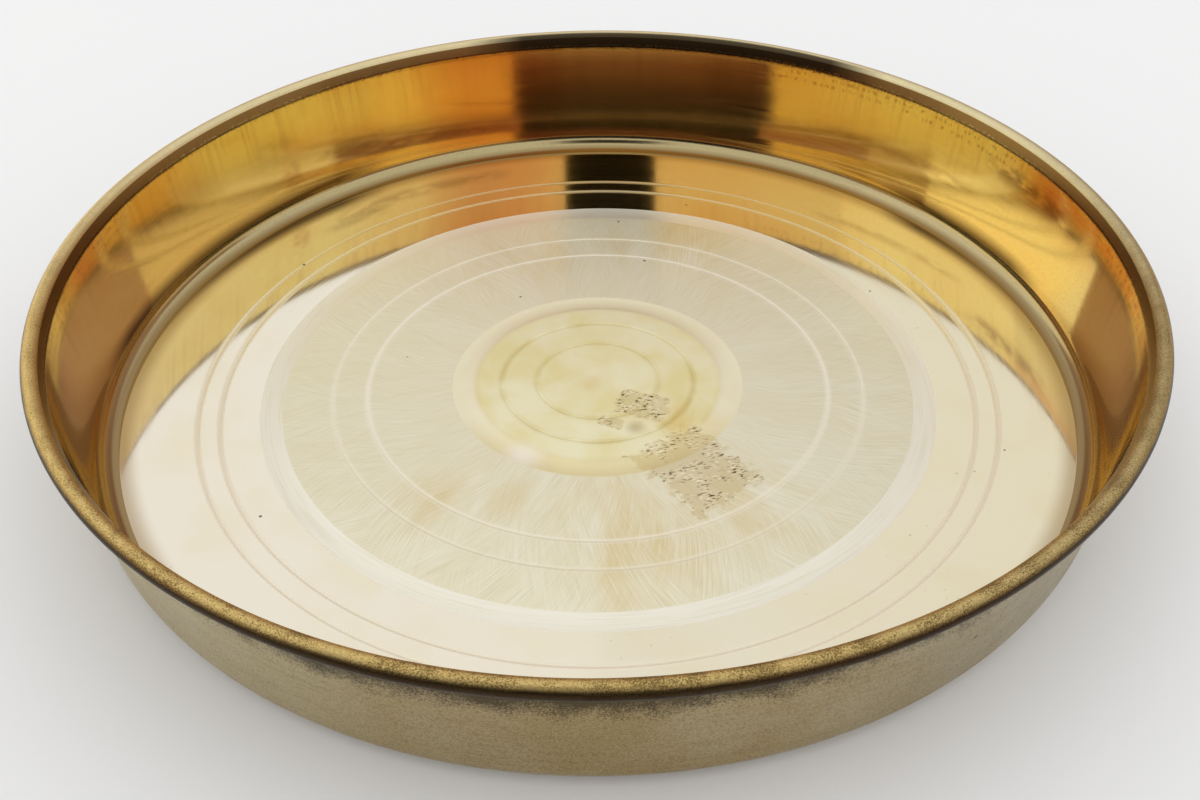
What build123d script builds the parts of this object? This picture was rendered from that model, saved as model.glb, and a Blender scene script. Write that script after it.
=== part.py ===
from build123d import *
import os
from math import cos, degrees, radians, sin, tan

# Thali plate: a round of brass sheet spun into a shallow floor and a flared wall, with its
# edge curled outward over a hoop of wire. The floor is flat in the middle and rises a little
# towards the wall. Millimetres, +Z up, origin at the middle of the underside. Radii are from
# the plate's axis.

# Driving dimensions
rim_diameter = 300.0  # over the outside of the rolled rim
overall_height = 44.5  # underside to the top of the rolled rim
sheet_thickness = 1.2

# Floor and wall
flat_radius = 97.3  # the part of the floor that stands on the table
floor_rise = 2.7  # degrees that the floor outside it climbs
wall_flare = 8.0  # degrees from upright
corner_bend_radius = 5.5  # inside of the bend from floor to wall
crease_bend_radius = 1.0  # outside of the bend from wall to shoulder
shoulder_flare = 20.0  # degrees from upright
shoulder_length = 3.1  # straight band between the crease and the rolled rim

# Rolled rim and the wire in it
wire_diameter = 1.9
wire_clearance = 0.05  # radial room between the wire and the sheet round it
curl_wrap = 290.0  # degrees of sheet round the wire
wire_butt_gap = 0.8  # between the two ends of the bent hoop

# Turned lines in the floor
line_width = 1.0
line_depth = 0.05
edge_line_inset = 20.6  # edge of the floor to the outermost line
edge_line_pitch = 6.1  # from that line to its neighbour
disc_line_radius = 66.9
disc_line_pitch = 10.0  # from that line out to its neighbour
medallion_line_radius = 17.9
medallion_line_pitch = 10.2  # from that line out to its neighbour

# Turned bands in the floor: wide and hollow
disc_band_width = 6.3  # just inside the edge of the flat part
disc_band_depth = 0.08
medallion_radius = 42.4  # outside of the band round the medallion
medallion_band_width = 6.7
medallion_band_depth = 0.12

cutter_rise = 1.0  # how far a ring's cutter stands above the floor


def inward_normal(flare):
    return Vector(-cos(radians(flare)), sin(radians(flare)))


def uphill(flare):
    return Vector(sin(radians(flare)), cos(radians(flare)))


def polar(centre, radius, angle):
    return centre + Vector(cos(radians(angle)), sin(radians(angle))) * radius


def floor_height(radius):
    return sheet_thickness + max(radius - flat_radius, 0) * tan(radians(floor_rise))


# Section of the sheet, as radius and height, worked out from the curl down to the floor.
# The points are on the inside of the plate.
curl_inner_radius = wire_diameter / 2 + wire_clearance
curl_outer_radius = curl_inner_radius + sheet_thickness
curl_centre = Vector(rim_diameter / 2 - curl_outer_radius, overall_height - curl_outer_radius)
shoulder_top = curl_centre + inward_normal(shoulder_flare) * curl_outer_radius
shoulder_foot = shoulder_top - uphill(shoulder_flare) * shoulder_length
crease_radius = crease_bend_radius + sheet_thickness
crease_centre = shoulder_foot - inward_normal(shoulder_flare) * crease_radius
wall_top = crease_centre + inward_normal(wall_flare) * crease_radius

# The corner's centre is one bend radius from the wall and from the rising floor. Going down
# the wall's offset line from the top, it is reached where that line meets the floor's.
floor_normal = Vector(-sin(radians(floor_rise)), cos(radians(floor_rise)))
offset_top = wall_top + inward_normal(wall_flare) * corner_bend_radius
drop = (offset_top - Vector(flat_radius, sheet_thickness)).dot(floor_normal) - corner_bend_radius
corner_centre = offset_top - uphill(wall_flare) * (drop / uphill(wall_flare).dot(floor_normal))
floor_radius = (corner_centre - floor_normal * corner_bend_radius).X


def bend(centre, radius, start, turn):
    middle = polar(centre, radius, start + turn / 2)
    return ThreePointArc(polar(centre, radius, start), middle, polar(centre, radius, start + turn))


def sheet_side(depth):
    # Depth 0 is the inside of the plate, and the sheet's thickness is the outside
    height = sheet_thickness - depth
    flat = Line((0, height), (flat_radius + depth * tan(radians(floor_rise / 2)), height))
    corner_turn = 90 - wall_flare - floor_rise
    corner = bend(corner_centre, corner_bend_radius + depth, floor_rise - 90, corner_turn)
    rise = Line(flat @ 1, corner @ 0)
    crease_turn = wall_flare - shoulder_flare
    crease = bend(crease_centre, crease_radius - depth, 180 - wall_flare, crease_turn)
    curl = bend(curl_centre, curl_outer_radius - depth, 180 - shoulder_flare, -curl_wrap)
    wall = Line(corner @ 1, crease @ 0)
    shoulder = Line(crease @ 1, curl @ 0)
    return [flat, rise, corner, wall, crease, shoulder, curl]


def spun(edges):
    return revolve(Plane.XZ * make_face(edges), Axis.Z)


def spun_sheet():
    inside = sheet_side(0)
    outside = sheet_side(sheet_thickness)
    axis_edge = Line(outside[0] @ 0, inside[0] @ 0)
    raw_edge = Line(inside[-1] @ 1, outside[-1] @ 1)
    return spun(inside + outside + [axis_edge, raw_edge])


def ring_cutter(middle_radius, width, depth):
    inner, outer = middle_radius - width / 2, middle_radius + width / 2
    low, high = floor_height(inner), floor_height(outer)
    top = high + cutter_rise
    hollow = ThreePointArc((inner, low), (middle_radius, (low + high) / 2 - depth), (outer, high))
    sides = [Line((outer, high), (outer, top)), Line((outer, top), (inner, top))]
    return spun([hollow] + sides + [Line((inner, top), (inner, low))])


def turned_rings():
    edge_line = floor_radius - edge_line_inset
    line_radii = [
        edge_line,
        edge_line - edge_line_pitch,
        disc_line_radius + disc_line_pitch,
        disc_line_radius,
        medallion_line_radius + medallion_line_pitch,
        medallion_line_radius,
    ]
    disc_band = flat_radius - disc_band_width / 2
    medallion_band = medallion_radius - medallion_band_width / 2
    cutters = [ring_cutter(radius, line_width, line_depth) for radius in line_radii]
    cutters.append(ring_cutter(disc_band, disc_band_width, disc_band_depth))
    cutters.append(ring_cutter(medallion_band, medallion_band_width, medallion_band_depth))
    return cutters


def plate_body():
    return spun_sheet() - turned_rings()


def rim_wire():
    # A hoop bent from straight wire: its two ends meet end to end with a small gap
    hoop_turn = 360 - degrees(wire_butt_gap / curl_centre.X)
    wire_place = Plane.XZ * Pos(curl_centre.X, curl_centre.Y)
    return revolve(wire_place * Circle(wire_diameter / 2), Axis.Z, hoop_turn)


os.makedirs("parts", exist_ok=True)
export_step(plate_body(), "parts/plate_body.step")
export_step(rim_wire(), "parts/rim_wire.step")
floor_edge = f"{floor_radius:.2f}, {floor_height(floor_radius):.2f}"
print(f"floor edge at {floor_edge} mm, crease at {shoulder_foot.X:.2f}, {shoulder_foot.Y:.2f} mm")
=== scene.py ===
import bpy
from math import atan, atan2, cos, degrees, hypot, radians, sin, tan
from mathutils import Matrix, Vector


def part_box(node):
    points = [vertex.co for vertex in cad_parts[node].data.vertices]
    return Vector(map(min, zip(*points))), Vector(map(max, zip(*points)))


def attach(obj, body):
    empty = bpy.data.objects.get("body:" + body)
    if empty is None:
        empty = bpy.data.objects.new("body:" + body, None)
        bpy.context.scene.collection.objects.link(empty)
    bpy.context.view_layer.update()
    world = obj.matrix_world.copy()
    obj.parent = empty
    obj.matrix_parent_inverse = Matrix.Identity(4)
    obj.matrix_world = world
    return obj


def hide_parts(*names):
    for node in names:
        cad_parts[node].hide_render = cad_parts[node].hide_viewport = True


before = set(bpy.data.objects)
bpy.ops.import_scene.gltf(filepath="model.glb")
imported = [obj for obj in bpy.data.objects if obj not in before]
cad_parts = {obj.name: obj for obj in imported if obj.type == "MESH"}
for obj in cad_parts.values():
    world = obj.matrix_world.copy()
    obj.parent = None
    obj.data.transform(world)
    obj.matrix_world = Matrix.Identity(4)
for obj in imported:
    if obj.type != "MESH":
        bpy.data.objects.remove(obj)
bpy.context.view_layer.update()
bpy.ops.object.select_all(action="DESELECT")
mm = 0.001  # the sizes below are in millimetres, Blender's in metres
print("frame loaded:", sorted(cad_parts))


def linear(hexColour):
    # sRGB hex to Blender's linear colour
    parts = [int(hexColour[i:i + 2], 16) / 255 for i in (1, 3, 5)]
    return [p / 12.92 if p <= 0.04045 else ((p + 0.055) / 1.055) ** 2.4 for p in parts] + [1.0]


def plug(tree, value, socket):
    # a plain value is set; a socket, or a node's first live output, is linked
    if isinstance(value, bpy.types.Node):
        value = next(output for output in value.outputs if output.enabled)
    if isinstance(value, bpy.types.NodeSocket):
        tree.links.new(value, socket)
    else:
        socket.default_value = value


def addNode(tree, kind, links=None, **settings):
    # one node with its settings and what goes into its inputs
    node = tree.nodes.new("ShaderNode" + kind)
    for name, value in settings.items():
        setattr(node, name, value)
    for name, value in (links or {}).items():
        plug(tree, value, node.inputs[name])
    return node


# The sheet's section: the same sizes as the solid, with the rim and height read from the frame
sheet = {
    "thickness": 1.2,
    "flatRadius": 97.3,
    "floorRise": 2.7,  # degrees, outside the flat part
    "wallFlare": 8.0,
    "cornerBend": 5.5,
    "creaseBend": 1.0,
    "shoulderFlare": 20.0,
    "shoulderLength": 3.1,
    "wire": 1.9,
    "wireRoom": 0.05,
    "curlWrap": 290.0,
    "turns": 360,  # faces round the plate
    "cornerSteps": 12, "creaseSteps": 4, "curlSteps": 30,  # faces along each bend, inside
    "cornerBackSteps": 10, "creaseBackSteps": 3, "curlBackSteps": 20,  # and outside
    "wallRows": (0.04, 0.35, 0.65, 0.96, 1.0),  # narrow at the ends, so a bend's shading stays in it
    "weld": 0.002,  # points closer than this are joined
}
rings = {
    "lineWidth": 1.0, "lineDepth": 0.05, "lineSteps": 6, "bandSteps": 12,
    "edgeLineInset": 20.6, "edgeLinePitch": 6.1,
    "discLine": 66.9, "discLinePitch": 10.0,
    "medallionLine": 17.9, "medallionLinePitch": 10.2,
    "discBandWidth": 6.3, "discBandDepth": 0.08,
    "medallion": 42.4, "medallionBandWidth": 6.7, "medallionBandDepth": 0.12,
    "support": 0.25,  # flat left beside each hollow, so its shading stays in it
}

_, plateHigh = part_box("plate_body")
rimRadius = plateHigh.x / mm
rimTop = plateHigh.z / mm
curlIn = sheet["wire"] / 2 + sheet["wireRoom"]
curlOut = curlIn + sheet["thickness"]
curlCentre = Vector((rimRadius - curlOut, rimTop - curlOut))


def inward(flare):
    return Vector((-cos(radians(flare)), sin(radians(flare))))


def uphill(flare):
    return Vector((sin(radians(flare)), cos(radians(flare))))


def floorHeight(radius):
    return sheet["thickness"] + max(radius - sheet["flatRadius"], 0) * tan(radians(sheet["floorRise"]))


wallFlare, shoulderFlare = sheet["wallFlare"], sheet["shoulderFlare"]
creaseOut = sheet["creaseBend"] + sheet["thickness"]
shoulderTop = curlCentre + inward(shoulderFlare) * curlOut
shoulderFoot = shoulderTop - uphill(shoulderFlare) * sheet["shoulderLength"]
creaseCentre = shoulderFoot - inward(shoulderFlare) * creaseOut
wallTop = creaseCentre + inward(wallFlare) * creaseOut

# The corner's centre is one bend radius from the wall and from the rising floor
floorNormal = Vector((-sin(radians(sheet["floorRise"])), cos(radians(sheet["floorRise"]))))
offsetTop = wallTop + inward(wallFlare) * sheet["cornerBend"]
flatEnd = Vector((sheet["flatRadius"], sheet["thickness"]))
drop = (offsetTop - flatEnd).dot(floorNormal) - sheet["cornerBend"]
cornerCentre = offsetTop - uphill(wallFlare) * (drop / uphill(wallFlare).dot(floorNormal))
cornerTurn = 90 - wallFlare - sheet["floorRise"]
wallFoot = cornerCentre - inward(wallFlare) * sheet["cornerBend"]
floorEdge = (cornerCentre - floorNormal * sheet["cornerBend"]).x


def startSection(radius, height):
    # a plane drawn together into the one point that the section grows from
    bpy.ops.mesh.primitive_plane_add(size=mm, location=(0, 0, 0))
    bpy.ops.object.mode_set(mode="EDIT")
    bpy.ops.mesh.select_all(action="SELECT")
    bpy.ops.mesh.merge(type="CENTER")
    bpy.ops.transform.translate(value=(radius * mm, 0, height * mm))
    return Vector((radius, height))


def runTo(here, radius, height):
    step = ((radius - here.x) * mm, 0, (height - here.y) * mm)
    bpy.ops.mesh.extrude_region_move(TRANSFORM_OT_translate={"value": step})
    return Vector((radius, height))


def bendRound(here, centre, turn, steps):
    # turn is in degrees, anticlockwise with the radius to the right and the height up
    middle = (centre.x * mm, 0, centre.y * mm)
    bpy.ops.mesh.spin(steps=steps, angle=radians(turn), center=middle, axis=(0, 1, 0))
    arm = here - centre
    angle = atan2(arm.y, arm.x) + radians(turn)
    return centre + Vector((cos(angle), sin(angle))) * arm.length


def hollowRing(here, middle, width, depth, steps):
    # a turned hollow in the floor, with a narrow flat each side
    inner, outer = middle - width / 2, middle + width / 2
    chord = Vector((width, floorHeight(outer) - floorHeight(inner)))
    radius = (chord.length ** 2 / 4 + depth ** 2) / (2 * depth)
    upright = Vector((-chord.y, chord.x)).normalized()
    centre = Vector((inner, floorHeight(inner))) + chord / 2 + upright * (radius - depth)
    here = runTo(here, inner - rings["support"], floorHeight(inner - rings["support"]))
    here = runTo(here, inner, floorHeight(inner))
    here = bendRound(here, centre, degrees(4 * atan(2 * depth / chord.length)), steps)
    return runTo(here, outer + rings["support"], floorHeight(outer + rings["support"]))


edgeLine = floorEdge - rings["edgeLineInset"]
discBand = sheet["flatRadius"] - rings["discBandWidth"] / 2
medallionBand = rings["medallion"] - rings["medallionBandWidth"] / 2
turnedLines = [
    rings["medallionLine"], rings["medallionLine"] + rings["medallionLinePitch"],
    rings["discLine"], rings["discLine"] + rings["discLinePitch"],
    edgeLine - rings["edgeLinePitch"], edgeLine,
]
wideBands = [
    (medallionBand, rings["medallionBandWidth"], rings["medallionBandDepth"]),
    (discBand, rings["discBandWidth"], rings["discBandDepth"]),
]
hollows = [(r, rings["lineWidth"], rings["lineDepth"], rings["lineSteps"]) for r in turnedLines]
hollows += [(*band, rings["bandSteps"]) for band in wideBands]


def drawSection():
    thick = sheet["thickness"]
    here = startSection(0, thick)
    for middle, width, depth, steps in sorted(hollows):
        here = hollowRing(here, middle, width, depth, steps)
    here = runTo(here, floorEdge - rings["support"], floorHeight(floorEdge - rings["support"]))
    here = runTo(here, floorEdge, floorHeight(floorEdge))
    here = bendRound(here, cornerCentre, cornerTurn, sheet["cornerSteps"])
    for share in sheet["wallRows"]:
        point = wallFoot.lerp(wallTop, share)
        here = runTo(here, point.x, point.y)
    here = bendRound(here, creaseCentre, wallFlare - shoulderFlare, sheet["creaseSteps"])
    here = runTo(here, shoulderTop.x, shoulderTop.y)
    here = bendRound(here, curlCentre, -sheet["curlWrap"], sheet["curlSteps"])
    rawEdge = curlCentre + (here - curlCentre).normalized() * curlIn
    here = runTo(here, rawEdge.x, rawEdge.y)
    here = bendRound(here, curlCentre, sheet["curlWrap"], sheet["curlBackSteps"])
    creaseEnd = creaseCentre + inward(shoulderFlare) * sheet["creaseBend"]
    here = runTo(here, creaseEnd.x, creaseEnd.y)
    here = bendRound(here, creaseCentre, shoulderFlare - wallFlare, sheet["creaseBackSteps"])
    outerFoot = wallFoot - inward(wallFlare) * thick
    for share in sheet["wallRows"]:
        point = (wallTop - inward(wallFlare) * thick).lerp(outerFoot, share)
        here = runTo(here, point.x, point.y)
    here = bendRound(here, cornerCentre, -cornerTurn, sheet["cornerBackSteps"])
    flatEdge = sheet["flatRadius"] + thick * tan(radians(sheet["floorRise"] / 2))
    runTo(runTo(here, flatEdge, 0), 0, 0)


def spinSection():
    bpy.ops.mesh.select_all(action="SELECT")
    bpy.ops.mesh.spin(steps=sheet["turns"], angle=radians(360), center=(0, 0, 0), axis=(0, 0, 1))
    bpy.ops.mesh.select_all(action="SELECT")
    bpy.ops.mesh.remove_doubles(threshold=sheet["weld"] * mm)
    bpy.ops.mesh.normals_make_consistent(inside=False)
    bpy.ops.object.mode_set(mode="OBJECT")
    bpy.ops.object.shade_smooth()


drawSection()
spinSection()
plate = bpy.context.object
plate.name = "spunPlate"
plate.data.name = "spunPlate"
print("plate spun:", len(plate.data.polygons), "faces")


# Finishes: one brass sheet, worked and worn differently from zone to zone
def newFinish(name):
    material = bpy.data.materials.new(name)
    material.use_nodes = True
    tree = material.node_tree
    tree.nodes.clear()
    shader = addNode(tree, "BsdfPrincipled", {"Metallic": 1.0})
    addNode(tree, "OutputMaterial", {"Surface": shader})
    return material, tree, shader


def platePlace(tree):
    # a point of the plate in mm, its radius, and the way out from the axis
    place = addNode(tree, "TexCoord").outputs["Object"]
    point = addNode(tree, "VectorMath", {0: place, "Scale": 1 / mm}, operation="SCALE")
    flat = addNode(tree, "VectorMath", {0: point, 1: (1, 1, 0)}, operation="MULTIPLY")
    radius = addNode(tree, "VectorMath", {0: flat}, operation="LENGTH")
    outward = addNode(tree, "VectorMath", {0: flat}, operation="NORMALIZE")
    return point, radius, outward


def streakPlace(tree, outward, along, marks, length, lean=0.0):
    # a place for streaks that closes round the axis
    # marks to a radian, the length of each in mm, and its lean in radians to a mm
    turn = addNode(tree, "Math", {0: along, 1: lean}, operation="MULTIPLY")
    leaning = addNode(tree, "VectorRotate", {"Vector": outward, "Angle": turn}, rotation_type="Z_AXIS")
    share = addNode(tree, "Math", {0: along, 1: length}, operation="DIVIDE")
    lift = addNode(tree, "CombineXYZ", {"Z": share})
    spacing = (marks, marks, marks)
    return addNode(tree, "VectorMath", {0: leaning, 1: spacing, 2: lift}, operation="MULTIPLY_ADD")


def sideMask(tree, outward, bearing, inner, outer):
    # one side of the plate, at a bearing in degrees from +X: whole to inner degrees off it, gone at outer
    way = (cos(radians(bearing)), sin(radians(bearing)), 0.0)
    facing = addNode(tree, "VectorMath", {0: outward, 1: way}, operation="DOT_PRODUCT").outputs["Value"]
    return addNode(tree, "MapRange", {0: facing, 1: cos(radians(outer)), 2: cos(radians(inner))})


pitEdge = 3  # how steeply a pit sets in at its edge


def pitMask(tree, point, cell, share, size):
    # round pits in a share of the cells, each of its own size, in mm
    spots = addNode(tree, "TexVoronoi", {"Vector": point, "Scale": 1 / cell})
    draw = addNode(tree, "SeparateColor", {0: spots.outputs["Color"]})
    reach = addNode(tree, "MapRange", {0: draw, 1: 1 - share, 2: 1.0, 4: size / cell})
    inside = addNode(tree, "Math", {0: reach, 1: spots}, operation="SUBTRACT")
    steepness = pitEdge * cell / size
    return addNode(tree, "Math", {0: inside, 1: steepness}, operation="MULTIPLY", use_clamp=True)


def spotMask(tree, point, middle, reach):
    # a soft round patch on the floor
    away = addNode(tree, "VectorMath", {0: point, 1: (*middle, sheet["thickness"])}, operation="DISTANCE")
    return addNode(tree, "MapRange", {0: away, 1: reach, 2: 0.0}, interpolation_type="SMOOTHSTEP")


def lineMask(tree, along, place, reach):
    # a soft line at one radius or height
    away = addNode(tree, "Math", {0: along, 1: place}, operation="SUBTRACT")
    away = addNode(tree, "Math", {0: away}, operation="ABSOLUTE")
    return addNode(tree, "MapRange", {0: away, 1: reach, 2: 0.0}, interpolation_type="SMOOTHSTEP")


def together(tree, *masks):
    # the masks multiplied, so that what is left is where all of them are
    whole = masks[0]
    for mask in masks[1:]:
        whole = addNode(tree, "Math", {0: whole, 1: mask}, operation="MULTIPLY", use_clamp=True)
    return whole


def paint(tree, ground, layers):
    # each tint over the ones before it: its colour and share, then the masks that it shows in
    ground = linear(ground)
    for (colour, share), *masks in layers:
        mask = together(tree, *masks, share)
        ground = addNode(tree, "Mix", {0: mask, 6: ground, 7: linear(colour)}, data_type="RGBA").outputs[2]
    return ground


glancing = {"start": 0.58, "end": 0.78}  # where satin turns to gloss, from face on at 0 to edge on at 1


def dress(tree, shader, colour, rough, height, depth, gloss=None):
    # the colour, roughness and relief of a finish, depth in mm
    # with gloss, the roughness falls to it and the relief flattens where the surface is seen edge on
    strength = 1.0
    if gloss is not None:
        facing = addNode(tree, "LayerWeight", {"Blend": 0.5}).outputs["Facing"]
        along = addNode(tree, "MapRange", {0: facing, 1: glancing["start"], 2: glancing["end"]})
        rough = addNode(tree, "Mix", {0: along, 2: rough, 3: gloss}, data_type="FLOAT")
        strength = addNode(tree, "Math", {0: 1.0, 1: along}, operation="SUBTRACT")
    relief = addNode(tree, "Bump", {"Strength": strength, "Height": height, "Distance": depth * mm})
    for name, value in (("Base Color", colour), ("Roughness", rough), ("Normal", relief)):
        plug(tree, value, shader.inputs[name])


# In each look below, sizes are in mm and a tint is a colour with the share of it that shows
# The MapRange of a noise says where its mask starts and where it is whole
noiseLow, noiseHigh = 0.3, 0.7  # what a noise mostly lies between


glueLook = {
    "film": ("#D2BE88", 0.5), "smear": ("#A88E50", 0.5),
    "chip": ("#FBF6E0", 0.9), "flake": ("#553820", 0.95),
    "patches": (
        {"middle": (12.6, -12.0), "half": (7.6, 5.6), "turn": -18.0},
        {"middle": (26.0, -39.5), "half": (11.5, 14.8), "turn": 38.0},
        {"middle": (3.6, -19.6), "half": (3.6, 2.0), "turn": -25.0},
    ),
    "edgeOut": 1.05, "edgeIn": 0.9, "fray": 0.18,  # a patch's edge, in its half sizes
    "flakeLength": 1.5, "flakeWidth": 0.6, "flakeTurn": 15.0, "clusterSize": 5.0, "raggedSize": 2.5,
    "smearMiddle": (10.5, -22.0), "smearReach": 4.2,
}


def glueLayers(tree, point):
    # torn label glue left on the floor: a buff film, with brown flakes and pale chips in clusters
    look = glueLook
    ragged = addNode(tree, "TexNoise", {"Vector": point, "Scale": 1 / look["raggedSize"], "Detail": 3.0})
    fray = addNode(tree, "MapRange", {
        0: ragged, 1: noiseLow, 2: noiseHigh, 3: -look["fray"], 4: look["fray"],
    })
    film = None
    for patch in look["patches"]:
        turned = addNode(tree, "Mapping", {
            "Vector": point, "Location": (*patch["middle"], 0.0),
            "Rotation": (0, 0, radians(patch["turn"])), "Scale": (*patch["half"], 1.0),
        }, vector_type="TEXTURE")
        spread = addNode(tree, "VectorMath", {0: turned}, operation="ABSOLUTE")
        side = addNode(tree, "SeparateXYZ", {0: spread})
        reach = addNode(tree, "Math", {0: side.outputs["X"], 1: side.outputs["Y"]}, operation="MAXIMUM")
        reach = addNode(tree, "Math", {0: reach, 1: fray}, operation="ADD")
        inside = addNode(tree, "MapRange", {0: reach, 1: look["edgeOut"], 2: look["edgeIn"]})
        film = addNode(tree, "Math", {0: film, 1: inside}, operation="MAXIMUM") if film else inside
    long = addNode(tree, "Mapping", {
        "Vector": point, "Rotation": (0, 0, radians(look["flakeTurn"])),
        "Scale": (look["flakeLength"], look["flakeWidth"], 1.0),
    }, vector_type="TEXTURE")
    bits = addNode(tree, "TexNoise", {"Vector": long, "Scale": 1.0, "Detail": 2.0})
    cluster = addNode(tree, "TexNoise", {"Vector": point, "Scale": 1 / look["clusterSize"], "Detail": 1.0})
    crowd = addNode(tree, "MapRange", {0: cluster, 1: 0.4, 2: 0.56})
    flake = addNode(tree, "MapRange", {0: bits, 1: 0.58, 2: 0.65})
    chip = addNode(tree, "MapRange", {0: bits, 1: 0.42, 2: 0.34})
    smear = spotMask(tree, point, look["smearMiddle"], look["smearReach"])
    return [
        (look["film"], film),
        (look["smear"], smear),
        (look["chip"], film, crowd, chip),
        (look["flake"], film, crowd, flake),
    ]


polishedLook = {
    "ground": "#EAE2D0", "tarnish": ("#E4D8B4", 0.7), "cloud": ("#E0D1A2", 0.35),
    # the margin tint is painted shade: a brown band along the floor's edge, where it turns up into the wall
    "edgeShade": ("#A08458", 0.65), "line": ("#F2EAD4", 0.7), "lineBackShade": ("#E9DAA4", 0.8),
    "dust": ("#8E7C5A", 0.7), "pit": ("#3B2A1A", 0.85),
    "tarnishFrom": -60.0, "tarnishTo": 130.0,  # across the plate, to the right
    # the turned lines get painted shade towards the back, from the first distance to the second
    "backFrom": 10.0, "backTo": 70.0,  # towards the back
    "lineReach": 1.6, "edgeShadeReach": 6.0, "cloudSize": 24.0,
    "pitCell": 8.0, "pitSize": 0.55, "pitShare": 0.5, "dustCell": 2.4, "dustSize": 0.45, "dustShare": 0.4,
    "turns": 1.5, "turningPitch": 0.8,  # polishing rings, drawn coarser than the grit to show
    "roughLow": 0.05, "roughHigh": 0.1, "roughLine": 0.44, "relief": 0.0003,
}


def polishedFloor():
    # Polished brass sheet, pale from use: a soft mirror with faint yellow clouds, pits and dust, with
    # painted shade along its edge and on its lines towards the back
    look = polishedLook
    material, tree, shader = newFinish("polishedBrassFloor")
    point, radius, outward = platePlace(tree)
    across = addNode(tree, "SeparateXYZ", {0: point})
    right = addNode(tree, "MapRange", {0: across, 1: look["tarnishFrom"], 2: look["tarnishTo"]})
    back = addNode(tree, "MapRange", {0: across.outputs["Y"], 1: look["backFrom"], 2: look["backTo"]})
    haze = addNode(tree, "TexNoise", {"Vector": point, "Scale": 1 / look["cloudSize"], "Detail": 4.0})
    cloud = addNode(tree, "MapRange", {0: haze, 1: 0.45, 2: 0.75})
    dusty = addNode(tree, "MapRange", {0: haze, 1: 0.46, 2: 0.6})
    dust = pitMask(tree, point, look["dustCell"], look["dustShare"], look["dustSize"])
    pits = pitMask(tree, point, look["pitCell"], look["pitShare"], look["pitSize"])
    outerLine = lineMask(tree, radius, edgeLine, look["lineReach"])
    innerLine = lineMask(tree, radius, edgeLine - rings["edgeLinePitch"], look["lineReach"])
    lines = addNode(tree, "Math", {0: outerLine, 1: innerLine}, operation="MAXIMUM")
    # painted shade along the floor's edge, at the corner
    edgeShade = lineMask(tree, radius, floorEdge, look["edgeShadeReach"])
    colour = paint(tree, look["ground"], [
        (look["tarnish"], right),
        (look["cloud"], cloud),
        # painted shade along the floor's edge
        (look["edgeShade"], edgeShade),
        (look["line"], lines),
        # painted shade on the turned lines towards the back
        (look["lineBackShade"], lines, back),
        (look["dust"], dust, right, dusty),
        (look["pit"], pits),
    ])
    place = streakPlace(tree, outward, radius, look["turns"], look["turningPitch"])
    turning = addNode(tree, "TexNoise", {"Vector": place, "Scale": 1.0, "Detail": 2.0})
    rough = addNode(tree, "MapRange", {
        0: turning, 1: noiseLow, 2: noiseHigh, 3: look["roughLow"], 4: look["roughHigh"],
    })
    rough = addNode(tree, "Mix", {0: lines, 2: rough, 3: look["roughLine"]}, data_type="FLOAT")
    dress(tree, shader, colour, rough, turning, look["relief"])
    return material


turnedLook = {
    "ground": "#F3F0E1", "score": ("#E4DEC6", 0.5), "turns": 4.0, "scorePitch": 0.6,
    "rough": 0.36, "roughScore": 0.46, "relief": 0.001, "gloss": 0.1,
}


def turnedBand():
    # Brass cut by the lathe tool: whitish, with fine scores round the axis
    look = turnedLook
    material, tree, shader = newFinish("turnedBrassBand")
    _, radius, outward = platePlace(tree)
    place = streakPlace(tree, outward, radius, look["turns"], look["scorePitch"])
    scores = addNode(tree, "TexNoise", {"Vector": place, "Scale": 1.0, "Detail": 2.0})
    deep = addNode(tree, "MapRange", {0: scores, 1: 0.5, 2: 0.75})
    colour = paint(tree, look["ground"], [(look["score"], deep)])
    rough = addNode(tree, "MapRange", {
        0: scores, 1: noiseLow, 2: noiseHigh, 3: look["rough"], 4: look["roughScore"],
    })
    dress(tree, shader, colour, rough, scores, look["relief"], look["gloss"])
    return material


discLook = {
    "ground": "#EFECD4", "grey": ("#E6E3D0", 0.6), "fan": ("#DCC684", 0.12), "stain": ("#DCC684", 0.6),
    "light": ("#F7F5E8", 0.5), "dark": ("#DCD4B2", 0.4), "pit": ("#4A3822", 0.8),
    # the front line tint is painted shade on the lines' cores towards the front
    "innerLine": ("#FCF9EC", 0.7), "outerLine": ("#FCF9EC", 0.5), "frontLineShade": ("#E4DAB8", 0.35),
    "strokes": 200.0,  # to a radian, so about 0.4 mm wide: drawn coarser than the grit to show
    "strokeLength": 10.0, "leanOne": 0.005, "leanTwo": -0.004, "patchSize": 20.0,
    "fans": 5.0, "fanLength": 45.0,  # brownish fans, brushed outwards
    "stains": (  # middle and reach
        ((-27.0, -49.0), 15.0), ((-42.0, -52.0), 16.0), ((4.0, -57.0), 24.0), ((6.0, -80.0), 26.0),
        ((34.0, 77.0), 26.0), ((12.0, 72.0), 18.0), ((-24.0, 66.0), 26.0), ((36.0, 80.0), 20.0),
        ((16.0, -62.0), 28.0), ((46.0, -56.0), 28.0),
    ),
    "greyFrom": 10.0, "greyTo": 90.0,  # across the plate, to the right
    "frontFrom": -5.0, "frontTo": -55.0,  # towards the front
    "lineReach": 1.5, "coreReach": 0.8, "pitShare": 0.3,
    "roughLow": 0.42, "roughHigh": 0.52, "roughLine": 0.6, "anisotropic": 0.3,
    "relief": 0.003, "gloss": 0.07,
}


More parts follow.
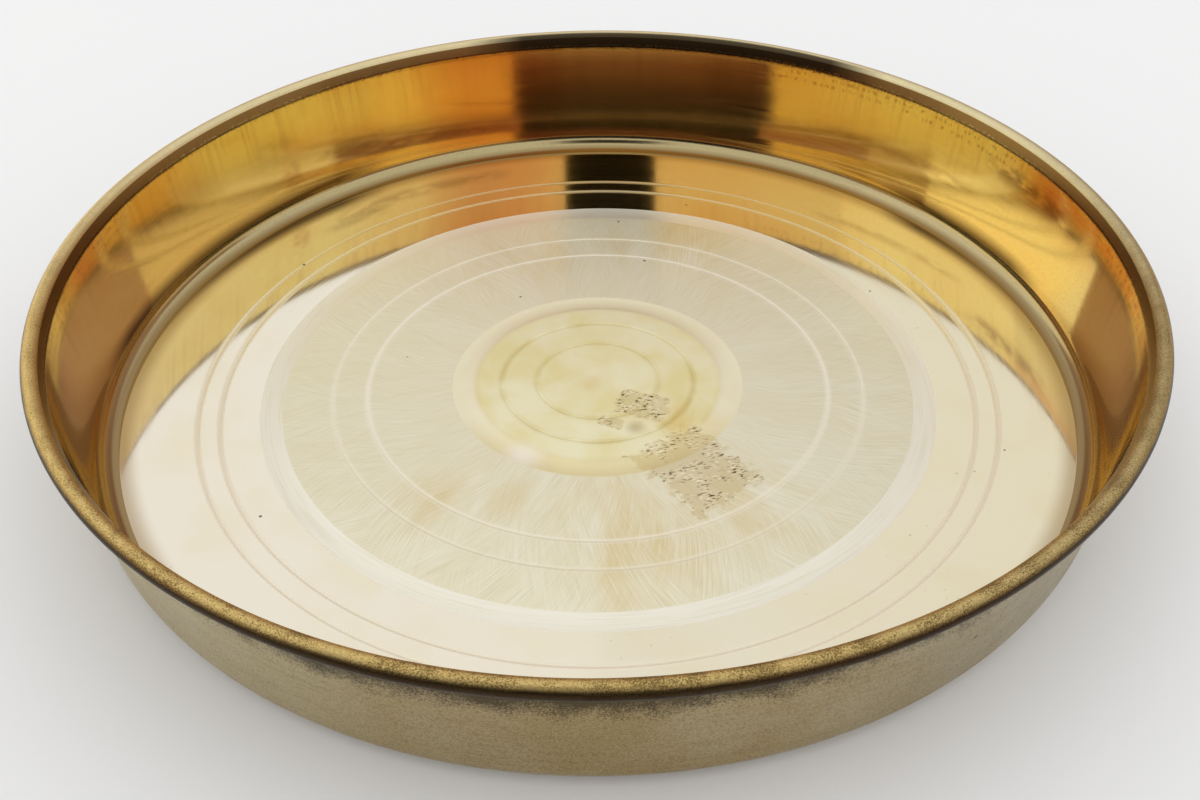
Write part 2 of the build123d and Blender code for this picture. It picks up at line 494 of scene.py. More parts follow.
def brushedDisc():
    # Brass brushed outwards by hand: satin, with fine light and dark strokes, old stains in fans, and
    # painted shade on the lines' cores towards the front
    look = discLook
    material, tree, shader = newFinish("brushedBrassDisc")
    point, radius, outward = platePlace(tree)
    across = addNode(tree, "SeparateXYZ", {0: point})
    strokes = []
    for lean in (look["leanOne"], look["leanTwo"]):
        place = streakPlace(tree, outward, radius, look["strokes"], look["strokeLength"], lean)
        strokes.append(addNode(tree, "TexNoise", {"Vector": place, "Scale": 1.0, "Detail": 2.0}))
    patches = addNode(tree, "TexNoise", {"Vector": point, "Scale": 1 / look["patchSize"], "Detail": 1.0})
    which = addNode(tree, "MapRange", {0: patches, 1: 0.35, 2: 0.65})
    brush = addNode(tree, "Mix", {0: which, 2: strokes[0], 3: strokes[1]}, data_type="FLOAT")
    light = addNode(tree, "MapRange", {0: brush, 1: 0.5, 2: 0.7})
    dark = addNode(tree, "MapRange", {0: brush, 1: 0.5, 2: 0.3})
    grey = addNode(tree, "MapRange", {0: across, 1: look["greyFrom"], 2: look["greyTo"]})
    front = addNode(tree, "MapRange", {0: across.outputs["Y"], 1: look["frontFrom"], 2: look["frontTo"]})
    fanPlace = streakPlace(tree, outward, radius, look["fans"], look["fanLength"])
    fans = addNode(tree, "TexNoise", {"Vector": fanPlace, "Scale": 1.0, "Detail": 4.0})
    fan = addNode(tree, "MapRange", {0: fans, 1: 0.36, 2: 0.64})
    innerPlace, outerPlace = rings["discLine"], rings["discLine"] + rings["discLinePitch"]
    innerLine = lineMask(tree, radius, innerPlace, look["lineReach"])
    outerLine = lineMask(tree, radius, outerPlace, look["lineReach"])
    bothLines = addNode(tree, "Math", {0: innerLine, 1: outerLine}, operation="ADD")
    innerCore = lineMask(tree, radius, innerPlace, look["coreReach"])
    outerCore = lineMask(tree, radius, outerPlace, look["coreReach"])
    cores = addNode(tree, "Math", {0: innerCore, 1: outerCore}, operation="ADD")
    pits = pitMask(tree, point, polishedLook["pitCell"], look["pitShare"], polishedLook["pitSize"])
    colour = paint(tree, look["ground"], [
        (look["grey"], grey),
        (look["fan"], fan),
        *[(look["stain"], spotMask(tree, point, *place), fan) for place in look["stains"]],
        (look["light"], light),
        (look["dark"], dark),
        (look["innerLine"], innerLine),
        (look["outerLine"], outerLine),
        # painted shade on the lines' cores towards the front
        (look["frontLineShade"], cores, front),
        *glueLayers(tree, point),
        (look["pit"], pits),
    ])
    rough = addNode(tree, "MapRange", {
        0: brush, 1: noiseLow, 2: noiseHigh, 3: look["roughHigh"], 4: look["roughLow"],
    })
    rough = addNode(tree, "Mix", {0: bothLines, 2: rough, 3: look["roughLine"]}, data_type="FLOAT")
    around = addNode(tree, "VectorMath", {0: (0, 0, 1), 1: outward}, operation="CROSS_PRODUCT")
    plug(tree, around, shader.inputs["Tangent"])
    shader.inputs["Anisotropic"].default_value = look["anisotropic"]
    dress(tree, shader, colour, rough, brush, look["relief"], look["gloss"])
    return material


medallionLook = {
    "ground": "#F4F0CC", "yellow": ("#ECE2A0", 0.7), "blot": ("#E6CE84", 0.4), "orange": ("#E6CE84", 0.7),
    # the band's back and front tints are painted shade, greyer towards the back and beige towards the front
    "band": ("#F6F2D8", 0.85), "bandBackShade": ("#F0EAC8", 0.7), "bandFrontShade": ("#E9DCA6", 0.75),
    "innerLine": ("#D2BC78", 0.3), "outerLine": ("#D2BC78", 0.4), "bandLine": ("#D2BC78", 0.12),
    "white": ("#FAF6EA", 0.8), "pit": ("#4A3822", 0.8),
    "yellowSize": 15.0, "yellowSwirl": 0.6, "lineReach": 1.7, "bandFade": 0.6, "pitShare": 0.3,
    "orangeMiddle": (22.0, -21.0), "orangeReach": 17.0, "whiteMiddle": (-21.0, -34.0), "whiteReach": 9.0,
    "blotMiddle": (-2.0, -1.5), "blotReach": 6.0,
    "backFrom": 5.0, "backTo": 30.0, "frontFrom": -15.0, "frontTo": -34.0,  # to the back, and to the front
    "turns": 3.0, "smoothPitch": 0.7,
    "rough": 0.34, "roughDull": 0.44, "roughLine": 0.64, "relief": 0.001, "gloss": 0.07,
}


def cleanedMedallion():
    # Brass rubbed clean in the middle: cream and smooth, with yellow stains and tarnish in its turned
    # lines, and painted shade on its band at the back and front
    look = medallionLook
    material, tree, shader = newFinish("rubbedBrassMedallion")
    point, radius, outward = platePlace(tree)
    across = addNode(tree, "SeparateXYZ", {0: point})
    stains = addNode(tree, "TexNoise", {
        "Vector": point, "Scale": 1 / look["yellowSize"], "Detail": 4.0, "Distortion": look["yellowSwirl"],
    })
    yellow = addNode(tree, "MapRange", {0: stains, 1: 0.38, 2: 0.66})
    faint = addNode(tree, "MapRange", {0: stains, 1: 0.35, 2: 0.6})
    bandIn = rings["medallion"] - rings["medallionBandWidth"]
    fade = look["bandFade"]
    band = addNode(tree, "MapRange", {0: radius, 1: bandIn - fade, 2: bandIn + fade})
    back = addNode(tree, "MapRange", {0: across.outputs["Y"], 1: look["backFrom"], 2: look["backTo"]})
    front = addNode(tree, "MapRange", {0: across.outputs["Y"], 1: look["frontFrom"], 2: look["frontTo"]})
    innerPlace, outerPlace = rings["medallionLine"], rings["medallionLine"] + rings["medallionLinePitch"]
    innerLine = lineMask(tree, radius, innerPlace, look["lineReach"])
    outerLine = lineMask(tree, radius, outerPlace, look["lineReach"])
    bothLines = addNode(tree, "Math", {0: innerLine, 1: outerLine}, operation="ADD")
    bandLine = lineMask(tree, radius, bandIn, look["lineReach"])
    blot = spotMask(tree, point, look["blotMiddle"], look["blotReach"])
    orange = spotMask(tree, point, look["orangeMiddle"], look["orangeReach"])
    white = spotMask(tree, point, look["whiteMiddle"], look["whiteReach"])
    pits = pitMask(tree, point, polishedLook["pitCell"], look["pitShare"], polishedLook["pitSize"])
    colour = paint(tree, look["ground"], [
        (look["yellow"], yellow),
        (look["blot"], blot),
        (look["band"], band),
        # painted shade on the band, at the back and at the front
        (look["bandBackShade"], band, back),
        (look["bandFrontShade"], band, front),
        (look["orange"], orange, faint),
        (look["innerLine"], innerLine, faint),
        (look["outerLine"], outerLine, faint),
        (look["bandLine"], bandLine),
        (look["white"], white),
        *glueLayers(tree, point),
        (look["pit"], pits),
    ])
    place = streakPlace(tree, outward, radius, look["turns"], look["smoothPitch"])
    turning = addNode(tree, "TexNoise", {"Vector": place, "Scale": 1.0, "Detail": 2.0})
    rough = addNode(tree, "MapRange", {
        0: stains, 1: noiseLow, 2: noiseHigh, 3: look["rough"], 4: look["roughDull"],
    })
    rough = addNode(tree, "Mix", {0: bothLines, 2: rough, 3: look["roughLine"]}, data_type="FLOAT")
    dress(tree, shader, colour, rough, turning, look["relief"], look["gloss"])
    return material


# A side is a bearing in degrees from +X, then how many degrees off it the mask is whole and gone
wallLook = {
    "ground": "#EBD68C", "backTarnish": ("#D8963E", 0.55), "footTarnish": ("#D8963E", 0.2),
    "topTarnish": ("#D8963E", 0.4), "mottle": ("#D8963E", 0.3), "drip": ("#9A5620", 0.22),
    "red": ("#C4642C", 0.5), "dash": ("#7A4A1C", 0.4), "shoulder": ("#755734", 0.9),
    "shade": ("#20170F", 0.92), "crease": ("#2E1C10", 0.6), "foot": ("#4A3016", 0.85),
    # the two front tints are painted shade on the front wall
    "frontShadeRed": ("#AD938A", 0.95), "frontShadeDark": ("#3E3C3C", 0.95), "corner": ("#B5A57A", 1.0),
    "seamShade": ("#7E6038", 0.7), "speck": ("#8E7C55", 0.4), "spot": ("#5A3A1C", 0.7),
    "backSide": (88.0, 14.0, 44.0), "redSide": (105.0, 3.0, 12.0),
    "shadeSide": (78.0, 22.0, 30.0),  # painted shade on the shoulder at the back
    "frontSide": (253.5, 40.0, 45.0), "frontRed": 10.0, "frontDark": 33.0,  # painted shade on the front wall, red below, dark above
    "footSides": ((152.0, 22.0, 30.0), (29.0, 9.0, 16.0)),
    "footRise": 4.5, "footFull": 0.5,  # a painted dark reflection along the foot of the wall
    "dashSides": ((181.0, 11.0, 18.0), (45.0, 18.0, 25.0), (-10.0, 10.0, 18.0)),
    "dashWidth": 0.8, "dashHeight": 2.6, "dashDrop": 1.6, "dashPitch": 2.4, "dashReach": 1.1,
    "marks": (  # side, middle height, reach up and down, tint
        ((117.0, 10.0, 15.0), 14.0, 4.0, ("#7A4E20", 0.4)),
        ((127.0, 3.0, 6.0), 18.0, 3.5, ("#5E4420", 0.4)),
        ((137.0, 0.2, 1.8), 17.0, 9.0, ("#A4561F", 0.4)),
        ((43.0, 9.0, 15.0), 21.0, 3.0, ("#9A641F", 0.35)),
        ((20.0, 5.0, 10.0), 33.0, 5.0, ("#6A4418", 0.65)),
        ((0.0, 14.0, 22.0), 38.0, 7.0, ("#DC8C34", 0.55)),
    ),
    "blotWidth": 8.0, "blotHeight": 3.0, "dripWidth": 2.2, "dripLength": 34.0,
    "upperDepth": 22.0, "lowerRise": 14.0,  # tarnish, down from the crease and up from the foot
    "sandDepth": 3.0, "shoulderFrom": 0.6, "shoulderTo": 2.0, "creaseReach": 0.6,
    "cornerFade": 1.2,  # from the wall's brass to the greyer bend below its foot
    "seamFade": 1.6, "seamShare": 0.7,  # painted shade, brown, in the lowest part of the bend
    "speckSize": 0.6, "sectors": 2.2, "sectorLength": 60.0, "turns": 3.0, "spinPitch": 0.6,
    "spotCell": 12.0, "spotSize": 0.7, "spotShare": 0.4,
    "roughLow": 0.05, "roughHigh": 0.1, "roughCorner": 0.16, "roughShoulder": 0.3, "relief": 0.0005,
}


def polishedWall():
    # Polished brass wall: a warm mirror, tarnished in places, with drips and chatter marks under the
    # crease; painted shade on the back shoulder, on the front and low in the bend, and a painted dark
    # reflection at the foot
    look = wallLook
    material, tree, shader = newFinish("polishedBrassWall")
    point, _, outward = platePlace(tree)
    height = addNode(tree, "SeparateXYZ", {0: point}).outputs["Z"]
    grain = addNode(tree, "TexNoise", {"Vector": point, "Scale": 1 / look["speckSize"], "Detail": 2.0})
    speck = addNode(tree, "MapRange", {0: grain, 1: 0.58, 2: 0.7})
    mottle = addNode(tree, "MapRange", {0: grain, 1: 0.5, 2: 0.68})
    sectorPlace = streakPlace(tree, outward, height, look["sectors"], look["sectorLength"])
    sector = addNode(tree, "TexNoise", {"Vector": sectorPlace, "Scale": 1.0, "Detail": 2.0})
    stained = addNode(tree, "MapRange", {0: sector, 1: 0.42, 2: 0.62})
    dripPlace = streakPlace(tree, outward, height, wallFoot.x / look["dripWidth"], look["dripLength"])
    drips = addNode(tree, "TexNoise", {"Vector": dripPlace, "Scale": 1.0, "Detail": 3.0})
    drip = addNode(tree, "MapRange", {0: drips, 1: 0.5, 2: 0.7})
    upper = addNode(tree, "MapRange", {0: height, 1: wallTop.y - look["upperDepth"], 2: wallTop.y})
    lower = addNode(tree, "MapRange", {0: height, 1: wallFoot.y + look["lowerRise"], 2: wallFoot.y})

    # chatter marks in two rows, and ragged smears
    dashPlace = streakPlace(tree, outward, height, wallTop.x / look["dashWidth"], look["dashHeight"])
    dashes = addNode(tree, "TexNoise", {"Vector": dashPlace, "Scale": 1.0, "Detail": 0.0})
    dash = addNode(tree, "MapRange", {0: dashes, 1: 0.52, 2: 0.62})
    rowTop = wallTop.y - look["dashDrop"]
    topRow = lineMask(tree, height, rowTop, look["dashReach"])
    nextRow = lineMask(tree, height, rowTop - look["dashPitch"], look["dashReach"])
    row = addNode(tree, "Math", {0: topRow, 1: nextRow}, operation="MAXIMUM")
    blotPlace = streakPlace(tree, outward, height, wallTop.x / look["blotWidth"], look["blotHeight"])
    blots = addNode(tree, "TexNoise", {"Vector": blotPlace, "Scale": 1.0, "Detail": 4.0})
    ragged = addNode(tree, "MapRange", {0: blots, 1: 0.36, 2: 0.56})

    # the shoulder above the wall, and the bend below it, with painted shade low in the bend and a painted
    # dark reflection at the wall's foot
    sandy = addNode(tree, "Math", {0: grain, 1: look["sandDepth"], 2: height}, operation="MULTIPLY_ADD")
    shoulderStart, shoulderEnd = shoulderFoot.y + look["shoulderFrom"], shoulderFoot.y + look["shoulderTo"]
    shoulder = addNode(tree, "MapRange", {0: sandy, 1: shoulderStart, 2: shoulderEnd})
    crease = lineMask(tree, height, shoulderFoot.y, look["creaseReach"])
    corner = addNode(tree, "MapRange", {0: height, 1: wallFoot.y, 2: wallFoot.y - look["cornerFade"]})
    seamTop = floorHeight(floorEdge) + look["seamFade"]
    seamEnd = seamTop - look["seamShare"] * look["seamFade"]
    # painted shade in the lowest part of the bend
    seamShade = addNode(tree, "MapRange", {0: height, 1: seamTop, 2: seamEnd})
    footTop, footEnd = wallFoot.y + look["footRise"], wallFoot.y + look["footFull"]
    # a painted dark reflection along the foot of the wall
    foot = addNode(tree, "MapRange", {0: height, 1: footTop, 2: footEnd})
    spots = pitMask(tree, point, look["spotCell"], look["spotShare"], look["spotSize"])
    # painted shade on the front wall, darker above
    front = sideMask(tree, outward, *look["frontSide"])
    darkAbove = addNode(tree, "MapRange", {0: height, 1: look["frontRed"], 2: look["frontDark"]})
    marks = []
    for side, middle, reach, tint in look["marks"]:
        marks.append((tint, sideMask(tree, outward, *side), lineMask(tree, height, middle, reach), ragged))
    colour = paint(tree, look["ground"], [
        (look["backTarnish"], sideMask(tree, outward, *look["backSide"])),
        (look["footTarnish"], lower),
        (look["topTarnish"], upper, stained),
        (look["drip"], drip, upper),
        (look["mottle"], mottle),
        (look["red"], sideMask(tree, outward, *look["redSide"])),
        *marks,
        *[(look["dash"], dash, row, sideMask(tree, outward, *side)) for side in look["dashSides"]],
        (look["shoulder"], shoulder),
        # painted shade on the shoulder at the back
        (look["shade"], shoulder, sideMask(tree, outward, *look["shadeSide"])),
        (look["crease"], crease),
        # painted shade on the front wall
        (look["frontShadeRed"], front),
        (look["frontShadeDark"], front, darkAbove),
        # painted dark reflection along the foot, on two sides
        *[(look["foot"], foot, sideMask(tree, outward, *side)) for side in look["footSides"]],
        (look["corner"], corner),
        # painted shade low in the bend
        (look["seamShade"], seamShade),
        (look["speck"], corner, speck),
        (look["spot"], spots),
    ])
    spinPlace = streakPlace(tree, outward, height, look["turns"], look["spinPitch"])
    spinning = addNode(tree, "TexNoise", {"Vector": spinPlace, "Scale": 1.0, "Detail": 2.0})
    rough = addNode(tree, "MapRange", {
        0: spinning, 1: noiseLow, 2: noiseHigh, 3: look["roughLow"], 4: look["roughHigh"],
    })
    rough = addNode(tree, "Mix", {0: corner, 2: rough, 3: look["roughCorner"]}, data_type="FLOAT")
    rough = addNode(tree, "Mix", {0: shoulder, 2: rough, 3: look["roughShoulder"]}, data_type="FLOAT")
    dress(tree, shader, colour, rough, spinning, look["relief"])
    return material


beadLook = {
    "ground": "#C8AC6C", "grey": ("#A0936C", 0.7), "glint": ("#E6D29A", 0.35), "speck": ("#4A3820", 0.45),
    # the pale tint is a painted reflection, lighter towards the back
    "pale": ("#EEE4BC", 0.62), "blot": ("#5A4222", 0.55),
    # painted shade, near black: inside the curl at the back, and under its outside
    "inside": ("#2A1A10", 0.92), "under": ("#2A1A10", 0.95),
    "speckSize": 0.33, "blotSize": 7.0, "wear": 0.06, "wearLift": 2.5,
    "greyFrom": 30.0, "greyTo": 135.0,  # across the plate, to the right
    "paleReflectionFrom": -30.0, "paleReflectionTo": 70.0, "nearFrom": -70.0, "nearTo": -120.0,  # to the back, and to the front
    "underTop": 2.0, "underEnd": 0.9,  # heights from the middle of the curl, and radii from it
    "outsideFrom": -0.5, "outsideTo": 0.8, "insideFrom": -0.6, "insideTo": -1.2,
    "roughLow": 0.36, "roughHigh": 0.5, "relief": 0.015,
}


def rawBead():
    # Rolled brass edge left unpolished: dull gold with fine dark pits, painted paler at the back as a
    # reflection, and painted shade below and inside it at the back
    look = beadLook
    material, tree, shader = newFinish("rawBrassBead")
    point, radius, outward = platePlace(tree)
    across = addNode(tree, "SeparateXYZ", {0: point})
    grain = addNode(tree, "TexNoise", {"Vector": point, "Scale": 1 / look["speckSize"], "Detail": 3.0})
    blots = addNode(tree, "TexNoise", {"Vector": point, "Scale": 1 / look["blotSize"], "Detail": 3.0})
    worn = addNode(tree, "MapRange", {0: blots, 1: 0.35, 2: 0.65, 3: -look["wear"], 4: look["wear"]})
    both = addNode(tree, "Math", {0: grain, 1: blots}, operation="ADD")
    blot = addNode(tree, "MapRange", {0: both, 1: 0.96, 2: 1.2})
    near = addNode(tree, "MapRange", {0: across.outputs["Y"], 1: look["nearFrom"], 2: look["nearTo"]})
    sandy = addNode(tree, "Math", {0: grain, 1: worn}, operation="ADD")
    speck = addNode(tree, "MapRange", {0: sandy, 1: 0.52, 2: 0.66})
    glint = addNode(tree, "MapRange", {0: sandy, 1: 0.46, 2: 0.36})
    grey = addNode(tree, "MapRange", {0: across, 1: look["greyFrom"], 2: look["greyTo"]})
    # painted reflection: paler towards the back
    pale = addNode(tree, "MapRange", {0: across.outputs["Y"], 1: look["paleReflectionFrom"], 2: look["paleReflectionTo"]})
    lift = addNode(tree, "Math", {0: across.outputs["Z"], 1: curlCentre.y}, operation="SUBTRACT")
    lift = addNode(tree, "Math", {0: worn, 1: look["wearLift"], 2: lift}, operation="MULTIPLY_ADD")
    # painted shade under the curl
    under = addNode(tree, "MapRange", {0: lift, 1: look["underTop"], 2: look["underEnd"]})
    middle = curlCentre.x
    outside = addNode(tree, "MapRange", {
        0: radius, 1: middle + look["outsideFrom"], 2: middle + look["outsideTo"],
    })
    # painted shade on the curl's inside, used at the back
    inside = addNode(tree, "MapRange", {
        0: radius, 1: middle + look["insideFrom"], 2: middle + look["insideTo"],
    })
    colour = paint(tree, look["ground"], [
        (look["grey"], grey),
        (look["glint"], glint),
        (look["speck"], speck),
        # painted reflection towards the back
        (look["pale"], pale),
        (look["blot"], blot, near),
        # painted shade inside the curl at the back
        (look["inside"], inside, sideMask(tree, outward, *wallLook["shadeSide"])),
        # painted shade under the curl's outside
        (look["under"], under, outside),
    ])
    rough = addNode(tree, "MapRange", {
        0: grain, 1: noiseLow, 2: noiseHigh, 3: look["roughLow"], 4: look["roughHigh"],
    })
    dress(tree, shader, colour, rough, grain, look["relief"])
    return material


outsideLook = {
    # the left and right tints are painted sheen, where the outside turns away at its sides
    "ground": "#B09A6A", "pale": ("#C8BD9E", 0.4), "left": ("#D2C8A2", 0.65), "right": ("#B6B09A", 0.65),
    "ring": ("#94804F", 0.25), "speck": ("#4E4028", 0.3), "glint": ("#C8BD9E", 0.25),
    "rust": ("#8A5A2C", 0.5), "dark": ("#4E4028", 0.7), "sootAndShade": ("#3E3220", 0.85),
    "leftSheenSide": (220.0, 12.0, 36.0), "rightSheenSide": (322.0, 10.0, 34.0), "wallFrom": 2.0, "wallTo": 9.0,
    # painted shade, added to the soot under the rim at the front
    "frontShadeSide": (262.0, 12.0, 26.0), "frontShadeShare": 0.3, "sootSize": 9.0, "sootDepth": 15.0,
    "turns": 4.0, "spinPitch": 0.9, "grainSize": 0.5, "cloudSize": 26.0,
    "spotCell": 9.0, "spotSize": 0.9, "darkShare": 0.35, "rustShare": 0.4,
    "rustShift": (31.0, 17.0, 5.0),  # so that the rust lies elsewhere than the dark spots
    "roughLow": 0.34, "roughHigh": 0.46, "relief": 0.002,
}


def dulledOutside():
    # Brass left as it came off the spinning lathe: dull olive, with rings, spots and soot under the rim,
    # painted shade added to it at the front, and painted sheen at the sides
    look = outsideLook
    material, tree, shader = newFinish("dulledBrassOutside")
    point, radius, outward = platePlace(tree)
    height = addNode(tree, "SeparateXYZ", {0: point}).outputs["Z"]
    # one length for the rings, up the wall and in to the middle underneath
    along = addNode(tree, "Math", {0: height, 1: radius}, operation="SUBTRACT")
    spinPlace = streakPlace(tree, outward, along, look["turns"], look["spinPitch"])
    spinning = addNode(tree, "TexNoise", {"Vector": spinPlace, "Scale": 1.0, "Detail": 3.0})
    ring = addNode(tree, "MapRange", {0: spinning, 1: 0.45, 2: 0.7})
    soots = addNode(tree, "TexNoise", {"Vector": point, "Scale": 1 / look["sootSize"], "Detail": 5.0})
    grains = addNode(tree, "TexNoise", {"Vector": point, "Scale": 1 / look["grainSize"], "Detail": 3.0})
    speck = addNode(tree, "MapRange", {0: grains, 1: 0.48, 2: 0.66})
    glint = addNode(tree, "MapRange", {0: grains, 1: 0.5, 2: 0.34})
    upper = addNode(tree, "MapRange", {0: height, 1: wallTop.y - look["sootDepth"], 2: wallTop.y})
    # painted shade at the front, under the rim
    more = together(tree, upper, sideMask(tree, outward, *look["frontShadeSide"]), look["frontShadeShare"])
    drift = soots
    for part in (grains, upper, more):
        drift = addNode(tree, "Math", {0: drift, 1: part}, operation="ADD")
    darkAbove = addNode(tree, "MapRange", {0: drift, 1: 1.35, 2: 1.85})
    clouds = addNode(tree, "TexNoise", {"Vector": point, "Scale": 1 / look["cloudSize"], "Detail": 4.0})
    pale = addNode(tree, "MapRange", {0: clouds, 1: 0.4, 2: 0.68})
    wall = addNode(tree, "MapRange", {0: height, 1: look["wallFrom"], 2: look["wallTo"]})
    darkSpots = pitMask(tree, point, look["spotCell"], look["darkShare"], look["spotSize"])
    rustPlace = addNode(tree, "VectorMath", {0: point, 1: look["rustShift"]}, operation="ADD")
    rustSpots = pitMask(tree, rustPlace, look["spotCell"], look["rustShare"], look["spotSize"])
    colour = paint(tree, look["ground"], [
        (look["pale"], pale),
        # painted sheen at the outside's left and right sides
        (look["left"], wall, sideMask(tree, outward, *look["leftSheenSide"])),
        (look["right"], wall, sideMask(tree, outward, *look["rightSheenSide"])),
        (look["ring"], ring),
        (look["speck"], speck),
        (look["glint"], glint),
        (look["rust"], rustSpots),
        (look["dark"], darkSpots),
        # soot under the rim, with painted shade at the front
        (look["sootAndShade"], darkAbove),
    ])
    rough = addNode(tree, "MapRange", {
        0: soots, 1: noiseLow, 2: noiseHigh, 3: look["roughLow"], 4: look["roughHigh"],
    })
    dress(tree, shader, colour, rough, spinning, look["relief"])
    return material


wireLook = {
    "ground": "#7F7B75", "drawn": ("#5E5A55", 1.0), "drawnWidth": 0.25, "drawnLength": 12.0,
    "roughLow": 0.35, "roughHigh": 0.5, "relief": 0.003,
}


def drawnWire():
    # Drawn mild steel wire: dull grey, with die lines along it
    look = wireLook
    material, tree, shader = newFinish("drawnSteelWire")
    _, radius, outward = platePlace(tree)
    place = streakPlace(tree, outward, radius, curlCentre.x / look["drawnLength"], look["drawnWidth"])
    lines = addNode(tree, "TexNoise", {"Vector": place, "Scale": 1.0, "Detail": 2.0})
    drawn = addNode(tree, "MapRange", {0: lines, 1: 0.45, 2: 0.65})
    colour = paint(tree, look["ground"], [(look["drawn"], drawn)])
    rough = addNode(tree, "MapRange", {
        0: lines, 1: noiseLow, 2: noiseHigh, 3: look["roughLow"], 4: look["roughHigh"],
    })
    dress(tree, shader, colour, rough, lines, look["relief"])
    return material


finishes = {
    "polishedFloor": polishedFloor(), "turnedBand": turnedBand(), "brushedDisc": brushedDisc(),
    "medallion": cleanedMedallion(), "wall": polishedWall(), "bead": rawBead(), "outside": dulledOutside(),
}
finishOrder = list(finishes)
for key in finishOrder:
    plate.data.materials.append(finishes[key])
print("finishes made:", ", ".join(finishOrder))


insideFacing = 0.05  # how far a face of the inside points up at the least


def finishOf(radius, height, facing):
    # which finish a face wears, from where it lies in the section, in millimetres
    beadLow = shoulderTop.y - 2 * curlOut
    fromCurl = hypot(radius - curlCentre.x, height - curlCentre.y)
    if height > beadLow and fromCurl > (curlIn + curlOut) / 2 and radius > shoulderTop.x:
        return "bead"
    onInside = facing > insideFacing and height > sheet["thickness"] / 2
    if not onInside:
        return "outside"
    if radius > floorEdge:
        return "wall"
    if abs(radius - discBand) < rings["discBandWidth"] / 2:
        return "turnedBand"
    if radius > discBand:
        return "polishedFloor"
    if radius > rings["medallion"]:
        return "brushedDisc"
    return "medallion"


for face in plate.data.polygons:
    middle = face.center / mm
    face.material_index = finishOrder.index(finishOf(hypot(middle.x, middle.y), middle.z, face.normal.z))
print("finishes laid on the faces")

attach(plate, "root")
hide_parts("plate_body")

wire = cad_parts["rim_wire"]
wire.data.materials.clear()
wire.data.materials.append(drawnWire())


# Stage: a white tent round the plate, grey at the back, with a dark gap where it opens towards the camera
# Each card runs between two bearings, in degrees from the back and to the right, and between two heights
stage = {
    "floorSize": 6000.0,
    "paper": "#F2F2F2", "paperRough": 0.9,
    "sky": "#FFFFFF", "skyGlow": 1.0,
    "cardSteps": 24,
    "cards": {
        "greyBack": {
            "radius": 1000, "bearings": (-35, 50), "heights": (0, 655),
            "tone": "#FFD7C2", "glow": 0.5,
        },
        "greyRight": {
            "radius": 1000, "bearings": (50, 79), "heights": (380, 655),
            "tone": "#FFD7C2", "glow": 0.4,
        },
        "lowRight": {
            "radius": 1000, "bearings": (50, 112), "heights": (0, 380),
            "tone": "#FFE9C7", "glow": 0.85,
        },
        "softRight": {
            "radius": 1000, "bearings": (0, 150), "heights": (655, 2600),
            "tone": "#FFFFFF", "glow": 0.95,
        },
        "brightLeft": {
            "radius": 1000, "bearings": (-100, -35), "heights": (400, 2600),
            "tone": "#FFFFFF", "glow": 1.15,
        },
        "lowLeft": {
            "radius": 1000, "bearings": (-91, -35), "heights": (0, 400),
            "tone": "#FFF3D4", "glow": 1.35,
        },
        "sideLeft": {
            "radius": 1000, "bearings": (252, 269), "heights": (0, 400),
            "tone": "#FFDAB4", "glow": 0.6,
        },
        "lowSkirt": {
            "radius": 1000, "bearings": (112, 252), "heights": (0, 400),
            "tone": "#FFC4A6", "glow": 0.36,
        },
        "darkSill": {
            "radius": 450, "bearings": (160, 225.5), "heights": (0, 240),
            "tone": "#FFFFFF", "glow": 0.01,
        },
        "darkGap": {
            "radius": 450, "bearings": (169.7, 200.8), "heights": (400, 1000),
            "tone": "#FFFFFF", "glow": 0.01,
        },
    },
}


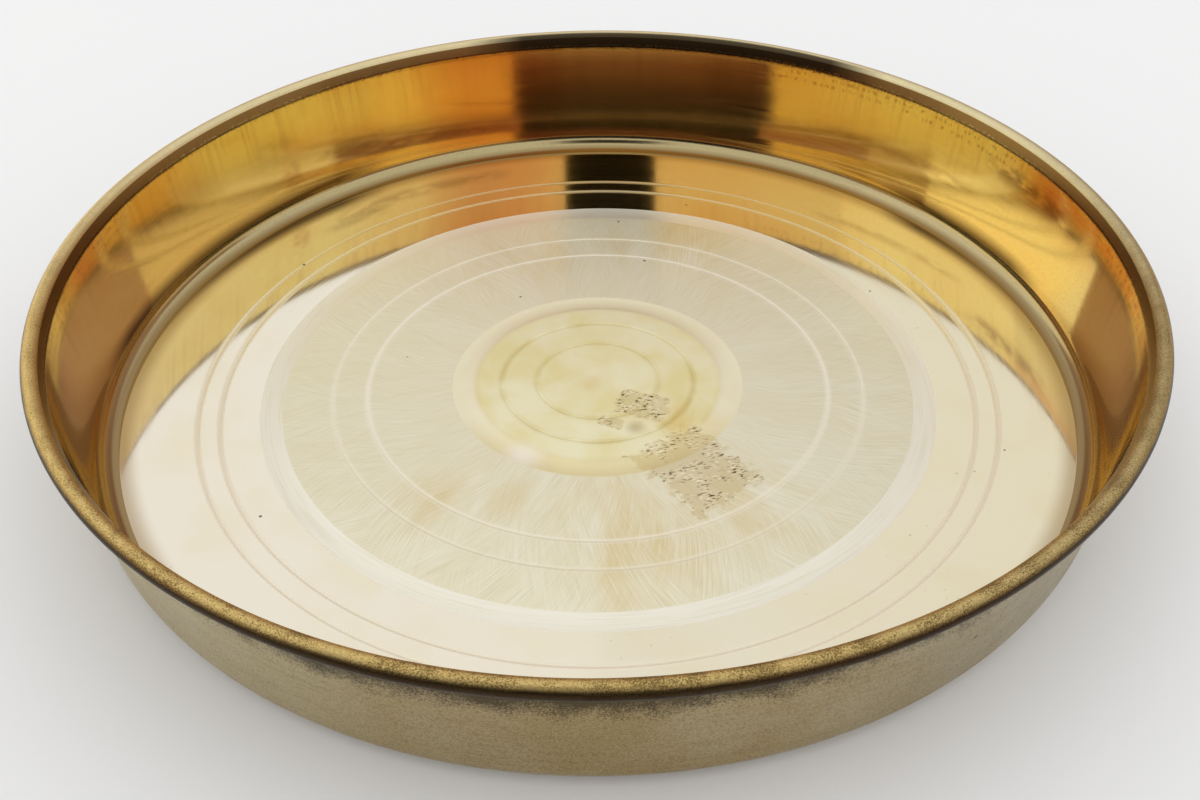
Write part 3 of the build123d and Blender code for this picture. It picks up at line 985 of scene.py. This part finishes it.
def layFloor():
    # matt paper under the plate: pale, without shine, for a soft shadow
    bpy.ops.object.select_all(action="DESELECT")
    bpy.ops.mesh.primitive_plane_add(size=stage["floorSize"] * mm, location=(0, 0, 0))
    floor = bpy.context.object
    floor.name = "paleFloor"
    material, _, shader = newFinish("matPaper")
    shader.inputs["Metallic"].default_value = 0.0
    shader.inputs["Base Color"].default_value = linear(stage["paper"])
    shader.inputs["Roughness"].default_value = stage["paperRough"]
    floor.data.materials.append(material)


def hangCard(name):
    # an upright curved card that only reflections see
    look = stage["cards"][name]
    start, end = look["bearings"]
    low, high = look["heights"]
    bpy.ops.object.select_all(action="DESELECT")
    here = startSection(look["radius"], low)
    runTo(here, look["radius"], high)
    bpy.ops.mesh.select_all(action="SELECT")
    sweep = radians(end - start)
    bpy.ops.mesh.spin(steps=stage["cardSteps"], angle=sweep, center=(0, 0, 0), axis=(0, 0, 1))
    bpy.ops.object.mode_set(mode="OBJECT")
    card = bpy.context.object
    card.name = name
    card.rotation_euler.z = radians(90 - start)
    material = bpy.data.materials.new(name)
    material.use_nodes = True
    tree = material.node_tree
    tree.nodes.clear()
    glow = addNode(tree, "Emission", {"Color": linear(look["tone"]), "Strength": look["glow"]})
    addNode(tree, "OutputMaterial", {"Surface": glow})
    card.data.materials.append(material)
    card.visible_camera = False
    card.visible_diffuse = False
    card.visible_shadow = False


def setWorld():
    world = bpy.data.worlds.new("studio")
    bpy.context.scene.world = world
    world.use_nodes = True
    tree = world.node_tree
    tree.nodes.clear()
    sky = addNode(tree, "Background", {"Color": linear(stage["sky"]), "Strength": stage["skyGlow"]})
    addNode(tree, "OutputWorld", {"Surface": sky})


# Camera: fitted to the rim's outline and the turned rings
camera = {
    "place": (0.0, -310.87, 243.62),
    "turn": (51.18, 0.519, -0.540),
    "lens": 40.33,
    "sensor": 36.0,
    "near": 1.0,  # nothing closer than this is drawn
}


def setCamera():
    bpy.ops.object.camera_add(
        location=[v * mm for v in camera["place"]], rotation=[radians(a) for a in camera["turn"]]
    )
    eye = bpy.context.object
    eye.data.sensor_width = camera["sensor"]
    eye.data.lens = camera["lens"]
    eye.data.clip_start = camera["near"] * mm
    bpy.context.scene.camera = eye


layFloor()
for cardName in stage["cards"]:
    hangCard(cardName)
setWorld()
setCamera()
bpy.context.scene.view_settings.view_transform = "Standard"
print("stage and camera set")
